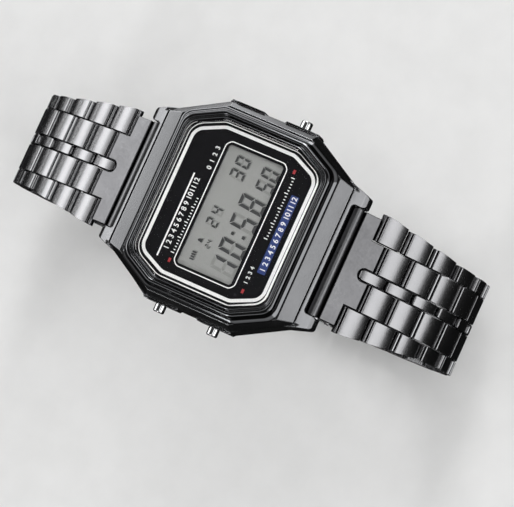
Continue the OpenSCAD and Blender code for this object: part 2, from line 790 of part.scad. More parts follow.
// A button on the 3 o'clock side: head, stem and the clip that keeps it in
module button_at(y) {
    translate([0, y, button_z]) {
        rod(head_x, button_tip - button_bevel, [0, 0], button_r);
        translate([button_tip - button_bevel, 0, 0]) rotate([0, 90, 0])
            cylinder(h = button_bevel, r1 = button_r, r2 = button_r - button_bevel);
        rod(stem_x, head_x, [0, 0], stem_r);
        difference() {
            rod(clip_x, clip_x + clip_t, [0, 0], clip_r);
            rod(clip_x - 1, clip_x + 1, [0, 0], stem_r + seat_fit);
        }
    }
}

module button_start() {
    color("#c4c8cc") button_at(-button_y);
}

module button_light() {
    color("#c4c8cc") mirror([1, 0, 0]) button_at(button_y);
}

module button_mode() {
    color("#c4c8cc") mirror([1, 0, 0]) button_at(-button_y);
}

// Rubber rings in the grooves of the button bores
module button_seals() {
    color("#181818") for (p = buttons)
        translate([p.x * (cavity_hx + seal_out), p.y * button_y, button_z]) rotate([0, 90, 0])
            rotate_extrude() translate([stem_r + run_fit + seat_fit / 2 + seal_r, 0])
                circle(r = seal_r, $fn = 24);
}

// Spring bars and end links

module spring_bar() {
    body_hx = lug_gap_x - (end_gap + drop_fit) / 2;
    color("#a8acb2") {
        rod(-body_hx, body_hx, [bar_y, bar_z], bar_r);
        rod(-lug_gap_x - bar_pin_l, lug_gap_x + bar_pin_l, [bar_y, bar_z], bar_pin_r);
    }
}

module spring_bar_12() spring_bar();
module spring_bar_6() mirror([0, 1, 0]) spring_bar();

// Knuckle of a link column round the pin at s, from x0 to x1
module knuckle(x0, x1, s) {
    rod(x0, x1, [s, 0], knuckle_r);
}

// A column's body with a crowned top from s0 to s1, and a flat sole from b0 to b1
module column(x0, x1, s0, s1, b0, b1) {
    intersection() {
        box([x0, s0, 0], [x1, s1, crown]);
        rod(x0, x1, [(s0 + s1) / 2, crown - crown_r], crown_r, $fn = 96);
    }
    box([x0, b0, -sole], [x1, b1, block_in]);
}

// Inner columns' tails, which hold the pin of the next hinge, next_s from this one
module tails(next_s) {
    both_x() knuckle(mid_hx + column_gap, inner_x, next_s);
}

// The pin that a row holds for the next one
module hinge_pin(next_s, half_l) {
    rod(-half_l, half_l, [next_s, 0], pin_r);
}

// Folded plate round the spring bar, with two tails for the first row
module end_link() {
    plate_start = tube_r - tube_wall / 5;
    plate_end = end_l + ace_end - pitch;
    top = crown - end_drop;
    color("#a9adb4") difference() {
        union() {
            rod(-end_hx, end_hx, [0, 0], tube_r);
            box([-end_hx, 0, -tube_r + join], [end_hx, tube_r, tube_r / 3]);
            box([-end_hx, plate_start, -sole], [end_hx, plate_end, top]);
            both_x() {
                box([mid_hx + column_gap, plate_end - join, 0], [inner_x, end_l + overlap, top]);
                box([mid_hx + column_gap, plate_end - join, -sole], [inner_x, end_l - block_in, block_in]);
            }
            tails(end_l);
        }
        bore([0, 0], bar_r + run_fit);
        bore([end_l, 0], pin_r + seat_fit);
    }
    color("#a9adb4") hinge_pin(end_l, edge(1) - pin_in);
}

module end_link_12() on_row_12(0) end_link();
module end_link_6() on_row_6(0) end_link();

// Columns of one row before its edges are cut to the bracelet's taper
module row_columns() {
    outer_x = inner_x + column_gap;
    both_x() {
        column(outer_x, strap_w / 2, -overlap, ace_end, block_in, ace_end);
        box([outer_x, ace_end - join, -sole], [strap_w / 2, clear_end, shelf_top]);
        knuckle(outer_x, strap_w / 2, 0);
        column(mid_hx + column_gap, inner_x, bd_start, pitch + overlap, bd_start, pitch - block_in);
        box([mid_hx + column_gap, clear_start, -sole], [inner_x, bd_start + join, tie_top]);
    }
    column(-mid_hx, mid_hx, -overlap, ace_end, block_in, ace_end);
    box([-mid_hx, ace_end - join, -sole], [mid_hx, clear_end, shelf_top]);
    knuckle(-mid_hx, mid_hx, 0);
    tails(pitch);
    box([-strap_w / 2, tie_start, -sole], [strap_w / 2, tie_end, tie_top]);
}

// Row r: the middle and outer columns turn on this hinge, and the inner two hold the next pin
module link(r) {
    color("#a9adb4") difference() {
        intersection() {
            row_columns();
            plate(-2 * sole, 2 * crown, [
                [-edge(r), -pitch], [edge(r), -pitch], [edge(r), 0], [edge(r + 1), pitch],
                [edge(r + 1), 2 * pitch], [-edge(r + 1), 2 * pitch], [-edge(r + 1), pitch], [-edge(r), 0]]);
        }
        for (x = [-1, 0, 1])
            translate([x * (strap_w / 2 + inner_x + column_gap) / 2, 0, 0])
                rod(-strap_w / 4, strap_w / 4, [0, 0], pin_r + run_fit);
        bore([pitch, 0], pin_r + seat_fit);
    }
    color("#a9adb4") hinge_pin(pitch, edge(r + 1) - pin_in);
}

module link_12(r) on_row_12(r) link(r);
module link_6(r) on_row_6(r) link(r);

// Clasp

// Knuckles that turn on a strand's last pin, with arms to length l and depth d
module clasp_knuckles(l, d) {
    outer = strap_end_w / 2 - pin_in;
    difference() {
        union() {
            knuckle(-mid_hx, mid_hx, 0);
            box([-mid_hx, arm_start, -d], [mid_hx, l, arm_top]);
            both_x() {
                knuckle(inner_x + column_gap, outer, 0);
                box([inner_x + column_gap, arm_start, -d], [outer, l, arm_top]);
            }
        }
        bore([0, 0], pin_r + run_fit);
    }
}

// Puts a piece of the clasp on the last pin of the 6 o'clock strand
module on_clasp_6() mirror([0, 1, 0]) on_hinge(rows + 1, slope_6, 180) children();

module clasp_base() {
    eye_at = [cover_pin_s, cover_pin_w];
    foot = eye_r * 2 / 3;
    lock_at = [lock_pin_s, lock_pin_w];
    lock_in = lock_hx + catch_gap;
    color("#9da1a8") on_clasp_6() difference() {
        union() {
            clasp_knuckles(base_start + column_gap, sole);
            box([-base_hx, base_start, -sole], [base_hx, base_end, base_top]);
            rod(-eye_hx, eye_hx, eye_at, eye_r);
            box([-eye_hx, cover_pin_s - foot, -sole], [eye_hx, cover_pin_s + foot, cover_pin_w]);
            both_x() rod(lock_in, lock_in + 2 * lock_knuckle_r, lock_at, lock_knuckle_r);
        }
        bore(eye_at, cover_pin_r + seat_fit);
        box([-lock_in, lock_pin_s - lock_knuckle_r - swing_gap, -through],
            [lock_in, lock_pin_s + lock_l + swing_gap, 0]);
        bore(lock_at, lock_pin_r + seat_fit);
        box([-hook_hx - swing_gap, hook_s - swing_gap, -through],
            [hook_hx + swing_gap, hook_s + hook_l + hook_swing + swing_gap, 0]);
    }
}

// Pins of the cover and of the lock plate
module clasp_pins() {
    cover_pin_hx = cover_hx - column_gap;
    lock_pin_hx = lock_hx + catch_gap + 2 * lock_knuckle_r - lock_t / 4;
    color("#8c9096") on_clasp_6() {
        rod(-cover_pin_hx, cover_pin_hx, [cover_pin_s, cover_pin_w], cover_pin_r);
        rod(-lock_pin_hx, lock_pin_hx, [lock_pin_s, lock_pin_w], lock_pin_r);
    }
}

// Folded steel cover, with its plate outwards and its side walls towards the wrist
module clasp_cover() {
    ear_in = eye_hx + swing_gap;
    color("#b4b8be") on_clasp_6() difference() {
        union() {
            box([-cover_hx, cover_pin_s, cover_w - cover_t], [cover_hx, cover_far, cover_w]);
            both_x() {
                rod(ear_in, cover_hx, [cover_pin_s, cover_pin_w], cover_pin_d);
                box([cover_hx - cover_wall_t, cover_pin_s, cover_w - cover_wall],
                    [cover_hx, cover_far, cover_w]);
            }
            box([-cover_lip_hx, cover_far - cover_lip_t, cover_w - cover_wall],
                [cover_lip_hx, cover_far, cover_w]);
        }
        box([-ear_in, 0, 0], [ear_in, cover_pin_s + eye_r + swing_gap, through]);
        bore([cover_pin_s, cover_pin_w], cover_pin_r + run_fit);
    }
}

module clasp_lock_plate() {
    at = [lock_pin_s, lock_pin_w];
    color("#c0c4ca") on_clasp_6() difference() {
        union() {
            rod(-lock_hx, lock_hx, at, lock_knuckle_r);
            box([-lock_hx, lock_pin_s, lock_pin_w - lock_t / 2],
                [lock_hx, lock_pin_s + lock_l, lock_pin_w + lock_t / 2]);
        }
        bore(at, lock_pin_r + run_fit);
    }
}

// End of the 12 o'clock strand, whose hook drops into the base's slot
module clasp_catch() {
    color("#9da1a8") on_hinge(rows + 1, slope_12, 180) {
        clasp_knuckles(2 * mid_hx, catch_t - catch_top);
        box([-catch_hx, 1, catch_top - catch_t], [catch_hx, catch_l, catch_top]);
        box([-hook_hx, catch_l - hook_l, catch_top - join], [hook_hx, catch_l, base_top - join]);
    }
}

case_shell();
bezel();
crystal();
dial_plate();
display_glass();
light_guide();
zebra_strips();
module_frame();
circuit_board();
contact_leaves();
battery();
battery_strap();
buzzer_disc();
gasket();
case_back();
case_back_screws();
button_seals();
button_light();
button_mode();
button_start();
spring_bar_12();
spring_bar_6();
end_link_12();
end_link_6();
link_12(1);  // link_12_01
link_12(2);  // link_12_02
link_12(3);  // link_12_03
link_12(4);  // link_12_04
link_12(5);  // link_12_05
link_12(6);  // link_12_06
link_12(7);  // link_12_07
link_12(8);  // link_12_08
link_12(9);  // link_12_09
link_12(10);  // link_12_10
link_12(11);  // link_12_11
link_6(1);  // link_6_01
link_6(2);  // link_6_02
link_6(3);  // link_6_03
link_6(4);  // link_6_04
link_6(5);  // link_6_05
link_6(6);  // link_6_06
link_6(7);  // link_6_07
link_6(8);  // link_6_08
link_6(9);  // link_6_09
link_6(10);  // link_6_10
link_6(11);  // link_6_11
clasp_catch();
clasp_base();
clasp_pins();
clasp_cover();
clasp_lock_plate();
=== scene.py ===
"""Looks of a digital wrist watch with an octagonal case and a five-column link bracelet.

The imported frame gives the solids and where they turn. The watch's lengths are in millimetres and
are turned into metres as each mesh is made; the camera and the lamps stand in metres. +Z leaves
the face, +Y is 12 o'clock, +X is 3 o'clock.
"""
import json
import math
import bmesh
import bpy
from mathutils import Matrix, Vector


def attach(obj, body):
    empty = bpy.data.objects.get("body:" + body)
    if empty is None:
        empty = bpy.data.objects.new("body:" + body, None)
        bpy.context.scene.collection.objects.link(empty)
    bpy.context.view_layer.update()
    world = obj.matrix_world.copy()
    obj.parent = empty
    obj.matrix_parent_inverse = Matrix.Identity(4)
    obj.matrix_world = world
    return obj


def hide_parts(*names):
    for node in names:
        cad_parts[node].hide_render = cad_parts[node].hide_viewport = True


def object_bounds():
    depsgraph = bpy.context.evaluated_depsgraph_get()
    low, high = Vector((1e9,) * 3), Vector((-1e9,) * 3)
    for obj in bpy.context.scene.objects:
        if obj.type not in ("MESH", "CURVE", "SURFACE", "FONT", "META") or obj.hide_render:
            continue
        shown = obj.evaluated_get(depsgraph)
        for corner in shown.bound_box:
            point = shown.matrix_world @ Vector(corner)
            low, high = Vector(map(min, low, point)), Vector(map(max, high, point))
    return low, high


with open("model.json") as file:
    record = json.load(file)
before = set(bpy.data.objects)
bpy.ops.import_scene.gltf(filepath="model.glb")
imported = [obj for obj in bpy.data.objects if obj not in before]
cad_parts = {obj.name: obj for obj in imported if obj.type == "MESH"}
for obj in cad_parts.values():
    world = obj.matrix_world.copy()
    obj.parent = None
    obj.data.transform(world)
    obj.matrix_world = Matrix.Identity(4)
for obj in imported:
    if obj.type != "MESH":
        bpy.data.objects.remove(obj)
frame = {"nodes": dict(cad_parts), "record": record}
solids = frame["nodes"]
cad_low, cad_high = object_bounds()


# Camera. It stands over the 6 o'clock side and looks down on the face, with 12 o'clock to the
# left of the picture, through a long lens that flattens the bracelet.
lens = bpy.data.cameras.new("long_lens")
lens.lens, lens.sensor_width = 194.12, 36
lens.clip_start, lens.clip_end = 0.01, 20
camera = bpy.data.objects.new("camera", lens)
bpy.context.scene.collection.objects.link(camera)
picture_right = Vector((0.412362, -0.884010, -0.221203))
picture_down = Vector((-0.909534, -0.384255, -0.159845))
looking = Vector((0.056310, 0.267095, -0.962039))
standing = Vector((-0.02729, -0.11808, 0.40818))
turned = Matrix((picture_right, -picture_down, -looking)).transposed().to_4x4()
camera.matrix_world = Matrix.Translation(standing) @ turned
bpy.context.scene.camera = camera
bpy.context.scene.view_settings.view_transform = "Standard"


# Table top. A plain pale painted board under the clasp, wide enough to be seen to its horizon,
# with the faint mottle of a rolled coat of paint.
mm = 0.001


def piece(name, corners, faces, body=None):
    """Makes a mesh from corners in millimetres and lets it ride on a body."""
    mesh = bpy.data.meshes.new(name)
    mesh.from_pydata([Vector(c) * mm for c in corners], [], faces)
    mesh.update()
    made = bpy.data.objects.new(name, mesh)
    bpy.context.scene.collection.objects.link(made)
    if body:
        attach(made, body)
    return made


def new_finish(name, colour, metallic, rough):
    """A material with its shader ready; its nodes are added one by one."""
    finish = bpy.data.materials.new(name)
    finish.use_nodes = True
    shader = finish.node_tree.nodes["Principled BSDF"]
    shader.inputs["Base Color"].default_value = (*colour, 1)
    shader.inputs["Metallic"].default_value = metallic
    shader.inputs["Roughness"].default_value = rough
    return finish, finish.node_tree.nodes, finish.node_tree.links, shader


def node(nodes, kind, **inputs):
    """Adds a node and sets its inputs, or its own settings where no input has that name."""
    made = nodes.new(kind)
    for key, value in inputs.items():
        label = key.replace("_", " ")
        if label in made.inputs:
            made.inputs[label].default_value = value
        else:
            setattr(made, key, value)
    return made


def feed(links, socket, value):
    """Gives an input a plain value, or what another node puts out."""
    if isinstance(value, bpy.types.NodeSocket):
        links.new(value, socket)
    else:
        socket.default_value = value


def grain(nodes, links, size, stretch=(1, 1, 1), detail=3.0):
    """Noise fixed to the piece. size is the width of a grain in millimetres."""
    place = node(nodes, "ShaderNodeTexCoord")
    scaled = node(nodes, "ShaderNodeMapping")
    scaled.inputs["Scale"].default_value = [1 / mm / size / s for s in stretch]
    noise = node(nodes, "ShaderNodeTexNoise", Scale=1.0, Detail=detail, Roughness=0.55)
    links.new(place.outputs["Object"], scaled.inputs["Vector"])
    links.new(scaled.outputs["Vector"], noise.inputs["Vector"])
    return noise.outputs["Fac"]


def between(nodes, links, source, low, high, start=0.3, end=0.7):
    """Turns a value that runs from start to end into a number between low and high."""
    ranged = node(nodes, "ShaderNodeMapRange", From_Min=start, From_Max=end, To_Min=low, To_Max=high)
    links.new(source, ranged.inputs["Value"])
    return ranged.outputs["Result"]


def worked_out(nodes, links, operation, *values):
    """A number worked out from others, each plain or from another node."""
    made = node(nodes, "ShaderNodeMath", operation=operation)
    for socket, value in zip(made.inputs, values):
        feed(links, socket, value)
    return made.outputs[0]


def toned(nodes, links, share, dark, light):
    """A colour between two, by a share from 0 to 1. The light one may come from another node."""
    mixed = node(nodes, "ShaderNodeMix", data_type="RGBA")
    from_node = isinstance(light, bpy.types.NodeSocket)
    links.new(share, mixed.inputs[0])
    mixed.inputs[6].default_value = (*dark, 1)
    feed(links, mixed.inputs[7], light if from_node else (*light, 1))
    return mixed.outputs[2]


def bumped(nodes, links, shader, source, depth, strength=0.5):
    """Raises the surface by up to depth in millimetres where the value is high."""
    bump = node(nodes, "ShaderNodeBump", Strength=strength, Distance=depth * mm)
    links.new(source, bump.inputs["Height"])
    links.new(bump.outputs["Normal"], shader.inputs["Normal"])
    return bump


def one_of(nodes, links, share, usual, other):
    """The usual shader where share is 0, and the other one where it is 1."""
    chosen = node(nodes, "ShaderNodeMixShader")
    for socket, source in zip(chosen.inputs, (share, usual, other)):
        links.new(source, socket)
    return chosen.outputs[0]


paint, nodes, links, shader = new_finish("table_paint", (0.78, 0.78, 0.775), 0, 0.55)
mottle = grain(nodes, links, 6, detail=5)
pale, paler = (0.76, 0.76, 0.755), (0.80, 0.80, 0.795)
links.new(toned(nodes, links, between(nodes, links, mottle, 0, 1), pale, paler), shader.inputs["Base Color"])
links.new(between(nodes, links, mottle, 0.48, 0.62), shader.inputs["Roughness"])
bumped(nodes, links, shader, grain(nodes, links, 0.8), 0.02, 0.2)
# Metal mirrors the table as cards beside the watch, out of the picture, in place of the paint: a painted
# reflection, as the table itself glows or goes black for reflected rays alone. They are black ones all
# round, a lit one between 12 and 3 o'clock, and a faintly lit one beyond 12 o'clock. A card's edge fades
# over the stretch given here, in metres from the middle of the watch, and the lit one's edge beside 3
# o'clock runs at a slant.
black, white, reflected_glow_strength = (0.004, 0.004, 0.004), (1, 1, 1), 3.0
lit_past_3, lit_past_12, lit_slant = (0.08, 0.095), (0.02, 0.07), 0.1
faint_past_12, faint_share = (0.12, 0.30), 0.10
seen_by = node(nodes, "ShaderNodeLightPath")
laid = node(nodes, "ShaderNodeTexCoord")
beyond = node(nodes, "ShaderNodeSeparateXYZ")
links.new(laid.outputs["Object"], beyond.inputs[0])
beside = worked_out(nodes, links, "MULTIPLY_ADD", beyond.outputs["Y"], lit_slant, beyond.outputs["X"])
corner = worked_out(nodes, links, "MINIMUM", between(nodes, links, beside, 0, 1, *lit_past_3),
                    between(nodes, links, beyond.outputs["Y"], 0, 1, *lit_past_12))
faint = between(nodes, links, beyond.outputs["Y"], 0, faint_share, *faint_past_12)
shade = worked_out(nodes, links, "MAXIMUM", corner, faint)
reflected_glow = node(nodes, "ShaderNodeEmission", Strength=reflected_glow_strength)
links.new(toned(nodes, links, shade, black, white), reflected_glow.inputs["Color"])
surface = one_of(nodes, links, seen_by.outputs["Is Glossy Ray"], shader.outputs[0], reflected_glow.outputs[0])
links.new(surface, nodes["Material Output"].inputs["Surface"])
table_z = cad_low.z / mm
reach = 6000
table = piece("table_top", [(-reach, -reach, table_z), (reach, -reach, table_z),
                            (reach, reach, table_z), (-reach, reach, table_z)], [(0, 1, 2, 3)])
table.data.materials.append(paint)


# Studio light. Soft boxes stand round the table, and the pale room behind them is seen in the
# metal and the glass. The room is greyer behind 6 o'clock than behind 12.
def soft_box(name, place, aim, width, height, watts):
    """A soft box at a place in metres, turned towards a point on the watch."""
    lamp = bpy.data.lights.new(name, "AREA")
    lamp.shape, lamp.size, lamp.size_y, lamp.energy = "RECTANGLE", width, height, watts
    made = bpy.data.objects.new(name, lamp)
    bpy.context.scene.collection.objects.link(made)
    made.location = place
    made.rotation_euler = (Vector(aim) - Vector(place)).to_track_quat("-Z", "Y").to_euler()


soft_box("twelve_side_box", (0.06, 0.58, 0.20), (0, 0.02, -0.01), 0.60, 0.24, 1.30)
soft_box("six_side_box", (-0.06, -0.53, 0.30), (0, -0.02, 0), 0.50, 0.40, 1.30)
soft_box("over_six_box", (0.0, -0.225, 0.556), (0, 0, 0), 0.40, 0.16, 0.37)
soft_box("three_low_box", (0.55, 0.06, 0.09), (0, 0, 0), 0.14, 0.50, 1.0)
soft_box("three_side_box", (0.50, 0.10, 0.40), (0, 0, 0), 0.12, 0.60, 1.4)
soft_box("nine_side_box", (-0.55, 0.10, 0.30), (0, 0, 0), 0.10, 0.50, 0.8)
room = bpy.data.worlds.new("pale_room")
bpy.context.scene.world = room
room.use_nodes = True
nodes, links = room.node_tree.nodes, room.node_tree.links
nodes.clear()
seen_by = node(nodes, "ShaderNodeLightPath")
direction = node(nodes, "ShaderNodeTexCoord")
split = node(nodes, "ShaderNodeSeparateXYZ")
links.new(direction.outputs["Generated"], split.inputs[0])
# Tones of the room as (share of the way from straight down to straight up, brightness)
wall_tones = [(0.50, 0.01), (0.55, 0.10), (0.66, 0.60), (0.78, 1.15), (0.825, 1.15), (0.85, 0.06),
              (0.97, 0.05)]
walls = node(nodes, "ShaderNodeValToRGB")
while len(walls.color_ramp.elements) < len(wall_tones):
    walls.color_ramp.elements.new(0.5)
for element, (share, bright) in zip(walls.color_ramp.elements, wall_tones):
    element.position, element.color = share, (bright, bright, bright, 1)
links.new(between(nodes, links, split.outputs["Z"], 0, 1, -1, 1), walls.inputs["Fac"])
falloff = between(nodes, links, split.outputs["Y"], 0.60, 1.25, -0.8, 0.8)
lit = node(nodes, "ShaderNodeBackground", Color=(1, 1, 1, 1), Strength=0.40)
reflected = node(nodes, "ShaderNodeBackground")
links.new(walls.outputs["Color"], reflected.inputs["Color"])
links.new(falloff, reflected.inputs["Strength"])
behind = node(nodes, "ShaderNodeBackground", Color=(0.9, 0.9, 0.9, 1), Strength=1.0)
mirrored = worked_out(nodes, links, "MAXIMUM", seen_by.outputs["Is Glossy Ray"],
                      seen_by.outputs["Is Transmission Ray"])
to_metal = one_of(nodes, links, mirrored, lit.outputs[0], reflected.outputs[0])
to_eye = one_of(nodes, links, seen_by.outputs["Is Camera Ray"], to_metal, behind.outputs[0])
links.new(to_eye, node(nodes, "ShaderNodeOutputWorld").inputs["Surface"])


# Middle case. One block of stainless steel with a dark grey plating, polished on the slanted
# sides and finely brushed on the bars between the lugs, its edges just broken with a cloth wheel.
def plated(name, tone, rough, grain_size, stretch=(1, 1, 1), rub_and_glint=0.6, depth=0.004, turned=0.0):
    """Metal with a fine grain, a faint haze, painted shade in its seams, and edges made bright by rubbing
    and a painted highlight.

    rub_and_glint is how bright the edges are, by wear and a painted highlight, depth is the grain's, and
    turned is how far a cloth wheel has rounded the edges over, both in millimetres.
    """
    finish, nodes, links, shader = new_finish(name, tone, 1, rough)
    fine = grain(nodes, links, grain_size, stretch)
    haze = grain(nodes, links, 4.0, detail=4)
    fine_share, haze_share = 0.55, 0.45
    cloudy = worked_out(nodes, links, "MULTIPLY_ADD", haze, haze_share,
                        worked_out(nodes, links, "MULTIPLY", fine, fine_share))
    links.new(between(nodes, links, cloudy, rough * 0.75, rough * 1.3), shader.inputs["Roughness"])
    # An edge is where the rounded way turns from the true one, and it is made brighter in patches, partly as
    # rubbed wear and partly as a painted highlight
    edge_reach, edge_turn = 0.16, (0.90, 0.995)
    rounded_way = node(nodes, "ShaderNodeBevel", samples=4, Radius=edge_reach * mm)
    true_way = node(nodes, "ShaderNodeNewGeometry")
    along = node(nodes, "ShaderNodeVectorMath", operation="DOT_PRODUCT")
    links.new(rounded_way.outputs["Normal"], along.inputs[0])
    links.new(true_way.outputs["Normal"], along.inputs[1])
    wear_and_glint_share = between(nodes, links, along.outputs["Value"], rub_and_glint, 0, *edge_turn)
    patchy = worked_out(nodes, links, "MULTIPLY", wear_and_glint_share, between(nodes, links, haze, 0.5, 1))
    rubbed_and_glinting = toned(nodes, links, patchy, tone, [min(1, t * 2.2 + 0.04) for t in tone])
    # Painted shade: the plating is darkened in the seams and gaps, where other surfaces close round it
    painted_shade_reach, painted_shade_fade, painted_seam_shade = 0.4, (0.48, 0.76), 0.08
    sheltered = node(nodes, "ShaderNodeAmbientOcclusion", samples=4, Distance=painted_shade_reach * mm)
    out_of_painted_shade = between(nodes, links, sheltered.outputs["AO"], 0, 1, *painted_shade_fade)
    shaded = toned(nodes, links, out_of_painted_shade, [t * painted_seam_shade for t in tone], rubbed_and_glinting)
    links.new(shaded, shader.inputs["Base Color"])
    bump = bumped(nodes, links, shader, fine, depth, 0.4)
    if turned:
        rounded_way.samples = 8
        rounded_way.inputs["Radius"].default_value = turned * mm
        links.new(rounded_way.outputs["Normal"], bump.inputs["Normal"])
    return finish


def soften(solid, width, angle=28, steps=2, near=True):
    """Breaks the sharp edges of a solid by width in millimetres, with modifiers alone.

    near narrows the broken edges where others lie close by.
    """
    weld = solid.modifiers.new("weld", "WELD")
    weld.merge_threshold = 1e-6
    plain = solid.modifiers.new("plain_faces", "DECIMATE")
    plain.decimate_type, plain.angle_limit = "DISSOLVE", math.radians(1)
    edge = solid.modifiers.new("broken_edges", "BEVEL")
    edge.width, edge.segments = width * mm, steps
    edge.limit_method, edge.angle_limit = "ANGLE", math.radians(angle)
    edge.use_clamp_overlap = near
    level = solid.modifiers.new("level_faces", "WEIGHTED_NORMAL")
    level.mode, level.weight = "FACE_AREA", 100
    for face in solid.data.polygons:
        face.use_smooth = True


def dress(names, finish):
    """Gives solids their finish."""
    for name in names:
        mesh = solids[name].data
        mesh.materials.clear()
        mesh.materials.append(finish)


case_plating = plated("case_plating", (0.18, 0.182, 0.188), 0.19, 0.12, (6, 1, 1), turned=0.18)
dress(["case_shell"], case_plating)
soften(solids["case_shell"], 0.02, angle=12, steps=1, near=False)


# Bezel. A turned and milled steel ring pressed on the case, plated darker than it and mirror
# polished. A thin ridge runs round the crystal, then a groove, a crest, a steep shoulder and a
# flared foot.
def octagon(half_x, half_y, cut_x, cut_y):
    """Corners of an octagon whose four slanted sides cut cut_x and cut_y off a rectangle."""
    return [(half_x, half_y - cut_y), (half_x - cut_x, half_y), (cut_x - half_x, half_y),
            (-half_x, half_y - cut_y), (-half_x, cut_y - half_y), (cut_x - half_x, -half_y),
            (half_x - cut_x, -half_y), (half_x, cut_y - half_y)]


def rounded(corners, radius, steps=8):
    """A closed outline whose corners are arcs of that radius."""
    line = []
    for i, b in enumerate(corners):
        a, b, c = Vector(corners[i - 1]), Vector(b), Vector(corners[(i + 1) % len(corners)])
        u, v = (a - b).normalized(), (c - b).normalized()
        half = u.angle(v) / 2
        centre = b + (u + v).normalized() * radius / math.sin(half)
        start = b + u * radius / math.tan(half) - centre
        sweep = (math.pi - 2 * half) * (1 if u.x * v.y - u.y * v.x < 0 else -1)
        for k in range(steps + 1):
            t = sweep * k / steps
            line.append(centre + Vector((start.x * math.cos(t) - start.y * math.sin(t),
                                         start.x * math.sin(t) + start.y * math.cos(t))))
    return line


def smooth_by(made, degrees):
    """Shades a piece smooth, apart from edges sharper than that."""
    for face in made.data.polygons:
        face.use_smooth = True
    made.data.set_sharp_from_angle(angle=math.radians(degrees))


glass_half, glass_cut, glass_round = (13.05, 11.25), (2.55, 5.1), 2.4
bezel_half, bezel_cut = (15.1, 13.45), (3.1, 5.9)
inside = rounded(octagon(*glass_half, *glass_cut), glass_round)
outside = rounded(octagon(*bezel_half, *bezel_cut), glass_round)
# Section of the ring as (share of the way from the crystal to the foot, height)
seat_z = 6.12
ridge = [(0.025, 7.70), (0.035, 7.78), (0.06, 7.83), (0.10, 7.85), (0.14, 7.83), (0.17, 7.77)]
groove = [(0.20, 7.66), (0.235, 7.58), (0.28, 7.56), (0.315, 7.60), (0.335, 7.68)]
crest = [(0.35, 7.77), (0.375, 7.82), (0.41, 7.845), (0.46, 7.85), (0.52, 7.83), (0.57, 7.77)]
shoulder = [(0.615, 7.67), (0.655, 7.50), (0.69, 7.28), (0.72, 7.02), (0.745, 6.80)]
foot = [(0.775, 6.68), (0.82, 6.60), (0.88, 6.50), (0.94, 6.38), (0.975, 6.30), (1.0, 6.20)]
section = [(0.025, seat_z)] + ridge + groove + crest + shoulder + foot + [(1.0, seat_z)]
corners, faces, count = [], [], len(inside)
for share, height in section:
    corners += [(*(a.lerp(b, share)), height) for a, b in zip(inside, outside)]
for r in range(len(section)):
    above = (r + 1) % len(section)
    for i in range(count):
        j = (i + 1) % count
        faces.append((r * count + j, above * count + j, above * count + i, r * count + i))
bezel = piece("bezel_ring", corners, faces, "case")
smooth_by(bezel, 40)
bezel.data.materials.append(plated("bezel_plating", (0.13, 0.132, 0.138), 0.09, 0.1, rub_and_glint=0.8, depth=0.002))
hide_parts("bezel")


# Crystal. A thick pane of clear hard plastic with a polished bevel, pressed into the bezel.
# Light passes through it to the dial.
clear, nodes, links, shader = new_finish("clear_pane", (1, 1, 1), 0, 0.0)
shader.inputs["Transmission Weight"].default_value = 1
shader.inputs["IOR"].default_value = 1.49
shader.inputs["Specular IOR Level"].default_value = 0.12
links.new(between(nodes, links, grain(nodes, links, 3.0), 0.0, 0.03), shader.inputs["Roughness"])
bumped(nodes, links, shader, grain(nodes, links, 9.0, detail=1), 0.002, 0.1)
seen_by = node(nodes, "ShaderNodeLightPath")
open_way = node(nodes, "ShaderNodeBsdfTransparent")
pane = one_of(nodes, links, seen_by.outputs["Is Shadow Ray"], shader.outputs[0], open_way.outputs[0])
links.new(pane, nodes["Material Output"].inputs["Surface"])
dress(["crystal"], clear)


# Dial. A thin black lacquered plate over the display, with its print: a heavy white band and fine
# white lines, rows of plain numbers and ticks, three red marks and a blue field.
def shape_from(made, name, finish):
    """Turns a mesh in the making into a piece with one finish."""
    mesh = bpy.data.meshes.new(name)
    made.to_mesh(mesh)
    made.free()
    mesh.materials.append(finish)
    shown = bpy.data.objects.new(name, mesh)
    bpy.context.scene.collection.objects.link(shown)
    return shown


def flat_shapes(name, shapes, low, high, slot, finish):
    """Thin raised shapes, each a closed outline or a pair of outlines with a gap inside."""
    made = bmesh.new()
    for shape in shapes:
        loops = shape if isinstance(shape[0][0], (list, tuple, Vector)) else [shape]
        edges = []
        for loop in loops:
            ring = [made.verts.new((p[0] * mm, p[1] * mm, high * mm)) for p in loop]
            edges += [made.edges.new((ring[i - 1], ring[i])) for i in range(len(ring))]
        bmesh.ops.triangle_fill(made, edges=edges, use_beauty=True)
    top = list(made.faces)
    bmesh.ops.recalc_face_normals(made, faces=top)
    for face in top:
        if face.normal.z < 0:
            face.normal_flip()
    raised = bmesh.ops.extrude_face_region(made, geom=top)
    for v in [g for g in raised["geom"] if isinstance(g, bmesh.types.BMVert)]:
        v.co.z = high * mm
    for v in {v for f in top if f.is_valid for v in f.verts}:
        v.co.z = low * mm
    bmesh.ops.recalc_face_normals(made, faces=list(made.faces))
    shown = shape_from(made, name, finish)
    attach(shown, "case")


def grown(half_x, half_y, cut_x, cut_y, by):
    """An octagon with every side moved outwards."""
    n = Vector((cut_y, cut_x)).normalized()
    return octagon(half_x + by, half_y + by, cut_x + by * (1 - (1 - n.y) / n.x),
                   cut_y + by * (1 - (1 - n.x) / n.y))


def band(half_x, half_y, cut_x, cut_y, radius, width, y=0.0):
    """An octagonal line of that width about its middle line."""
    outer = rounded(grown(half_x, half_y, cut_x, cut_y, width / 2), radius + width / 2)
    inner = rounded(grown(half_x, half_y, cut_x, cut_y, -width / 2), radius - width / 2)
    return [[p + Vector((0, y)) for p in outer], [p + Vector((0, y)) for p in inner]]


def bar(x0, y0, x1, y1):
    """A rectangle between two corners."""
    return [(x0, y0), (x1, y0), (x1, y1), (x0, y1)]


def ticks(first_x, foot_y, count, short, long):
    """A row of ticks that stands for a fine scale, every fifth one longer."""
    step, wide = 0.5, 0.14
    return [bar(first_x + step * i, foot_y, first_x + step * i + wide, foot_y + (short if i % 5 else long))
            for i in range(count)]


